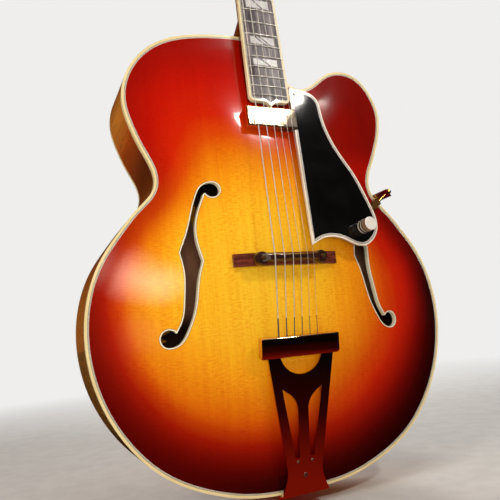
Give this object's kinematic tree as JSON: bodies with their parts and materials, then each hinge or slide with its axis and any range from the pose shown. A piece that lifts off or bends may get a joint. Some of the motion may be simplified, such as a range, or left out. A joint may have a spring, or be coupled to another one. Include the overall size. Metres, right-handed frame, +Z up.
{
  "type": "archtop guitar",
  "caption": "Hollow archtop guitar with carved plates, bound f-holes, a single cutaway, a floating pickup and guard, a trapeze tailpiece and geared tuners.",
  "frame": {"origin": "on the end pin's axis where it leaves the rim at the tail, halfway through the rim's depth", "axes": "+Z up along the centre line towards the headstock, -Y out of the face, +X to the treble side with the cutaway"},
  "size_m": [0.462, 0.1556, 1.1066],
  "materials": {
    "spruce": "gloss sunburst lacquer",
    "bare_spruce": "bare",
    "maple": "gloss sunburst lacquer",
    "ebony": "satin",
    "rosewood": "satin",
    "cream_binding": "gloss, aged",
    "pearl": "polished",
    "bone": "satin",
    "nickel": "polished",
    "steel": "drawn",
    "black_plastic": "gloss",
    "gold": "gold plated"
  },
  "bodies": {
    "guitar": {"back_binding": "cream_binding", "back_plate": "maple", "bass_rim": "maple", "bridge_base": "rosewood", "bridge_studs": "gold", "cutaway_rim": "maple", "end_block": "bare_spruce", "end_graft": "maple", "end_pin_jack": "gold", "f_hole_bindings": "cream_binding", "fingerboard": "ebony", "fingerboard_binding": "cream_binding", "frets": "nickel", "headstock_veneer": "ebony", "heel_cap": "cream_binding", "inlays": "pearl", "linings": "bare_spruce", "neck": "maple", "neck_block": "bare_spruce", "nut": "bone", "pickguard": "black_plastic", "pickguard_binding": "cream_binding", "pickguard_block": "maple", "pickguard_stay": "gold", "pickup_bracket": "gold", "pickup_coils": "black_plastic", "pickup_cover": "gold", "screws": "gold", "string_1": "steel", "string_2": "steel", "string_3": "steel", "string_4": "steel", "string_5": "steel", "string_6": "steel", "tailpiece_crossbar": "gold", "tailpiece_plate": "gold", "tone_bars": "bare_spruce", "top_binding": "cream_binding", "top_plate": "spruce", "treble_rim": "maple", "truss_rod": "steel", "truss_rod_cover": "black_plastic", "tuner_housings": "gold", "volume_pot": "steel"},
    "bridge_saddle": {"bridge_saddle": "ebony"},
    "bass_thumbwheel": {"bass_thumbwheel": "gold"},
    "treble_thumbwheel": {"treble_thumbwheel": "gold"},
    "volume_knob": {"volume_knob": "gold"},
    "tuner_post_1": {"tuner_post_1": "gold"},
    "tuner_post_2": {"tuner_post_2": "gold"},
    "tuner_post_3": {"tuner_post_3": "gold"},
    "tuner_post_4": {"tuner_post_4": "gold"},
    "tuner_post_5": {"tuner_post_5": "gold"},
    "tuner_post_6": {"tuner_post_6": "gold"},
    "tuner_key_1": {"tuner_key_1": "gold"},
    "tuner_key_2": {"tuner_key_2": "gold"},
    "tuner_key_3": {"tuner_key_3": "gold"},
    "tuner_key_4": {"tuner_key_4": "gold"},
    "tuner_key_5": {"tuner_key_5": "gold"},
    "tuner_key_6": {"tuner_key_6": "gold"}
  },
  "joints": [
    {"name": "saddle_height", "type": "slide", "parent": "guitar", "child": "bridge_saddle", "axis": [0, -1, 0], "range_m": [-0.002, 0.0025], "deforming": ["string_1", "string_2", "string_3", "string_4", "string_5", "string_6"]},
    {"name": "bass_wheel_turn", "type": "hinge", "parent": "bridge_saddle", "child": "bass_thumbwheel", "pos_m": [-0.0385, -0.07267, 0.26398], "axis": [0, -1, 0], "range_deg": [-1000, 1250]},
    {"name": "treble_wheel_turn", "type": "hinge", "parent": "bridge_saddle", "child": "treble_thumbwheel", "pos_m": [0.0385, -0.07267, 0.26398], "axis": [0, -1, 0], "range_deg": [-1000, 1250]},
    {"name": "volume_turn", "type": "hinge", "parent": "guitar", "child": "volume_knob", "pos_m": [0.1045, -0.07517, 0.29857], "axis": [0, -0.9974, 0.0722], "range_deg": [-150, 150]},
    {"name": "key_1_turn", "type": "hinge", "parent": "guitar", "child": "tuner_key_1", "pos_m": [0.0235, 0.00226, 0.95156], "axis": [1, 0, 0], "continuous": true},
    {"name": "post_1_turn", "type": "hinge", "parent": "guitar", "child": "tuner_post_1", "pos_m": [0.0235, -0.01128, 0.96441], "axis": [0, -0.9447, 0.3279], "continuous": true},
    {"name": "key_2_turn", "type": "hinge", "parent": "guitar", "child": "tuner_key_2", "pos_m": [0.0251, 0.01603, 0.99124], "axis": [1, 0, 0], "continuous": true},
    {"name": "post_2_turn", "type": "hinge", "parent": "guitar", "child": "tuner_post_2", "pos_m": [0.0251, 0.0025, 1.00409], "axis": [0, -0.9447, 0.3279], "continuous": true},
    {"name": "key_3_turn", "type": "hinge", "parent": "guitar", "child": "tuner_key_3", "pos_m": [0.0267, 0.0298, 1.03092], "axis": [1, 0, 0], "continuous": true},
    {"name": "post_3_turn", "type": "hinge", "parent": "guitar", "child": "tuner_post_3", "pos_m": [0.0267, 0.01627, 1.04377], "axis": [0, -0.9447, 0.3279], "continuous": true},
    {"name": "key_4_turn", "type": "hinge", "parent": "guitar", "child": "tuner_key_4", "pos_m": [-0.0267, 0.0298, 1.03092], "axis": [-1, 0, 0], "continuous": true},
    {"name": "post_4_turn", "type": "hinge", "parent": "guitar", "child": "tuner_post_4", "pos_m": [-0.0267, 0.01627, 1.04377], "axis": [0, -0.9447, 0.3279], "continuous": true},
    {"name": "key_5_turn", "type": "hinge", "parent": "guitar", "child": "tuner_key_5", "pos_m": [-0.0251, 0.01603, 0.99124], "axis": [-1, 0, 0], "continuous": true},
    {"name": "post_5_turn", "type": "hinge", "parent": "guitar", "child": "tuner_post_5", "pos_m": [-0.0251, 0.0025, 1.00409], "axis": [0, -0.9447, 0.3279], "continuous": true},
    {"name": "key_6_turn", "type": "hinge", "parent": "guitar", "child": "tuner_key_6", "pos_m": [-0.0235, 0.00226, 0.95156], "axis": [-1, 0, 0], "continuous": true},
    {"name": "post_6_turn", "type": "hinge", "parent": "guitar", "child": "tuner_post_6", "pos_m": [-0.0235, -0.01128, 0.96441], "axis": [0, -0.9447, 0.3279], "continuous": true}
  ],
  "couplings": [
    {"joint": "saddle_height", "follows": "bass_wheel_turn", "m_per_rad": 0.00011141},
    {"joint": "treble_wheel_turn", "follows": "bass_wheel_turn", "ratio": 1},
    {"joint": "post_1_turn", "follows": "key_1_turn", "ratio": 0.066667},
    {"joint": "post_2_turn", "follows": "key_2_turn", "ratio": 0.066667},
    {"joint": "post_3_turn", "follows": "key_3_turn", "ratio": 0.066667},
    {"joint": "post_4_turn", "follows": "key_4_turn", "ratio": 0.066667},
    {"joint": "post_5_turn", "follows": "key_5_turn", "ratio": 0.066667},
    {"joint": "post_6_turn", "follows": "key_6_turn", "ratio": 0.066667}
  ]
}
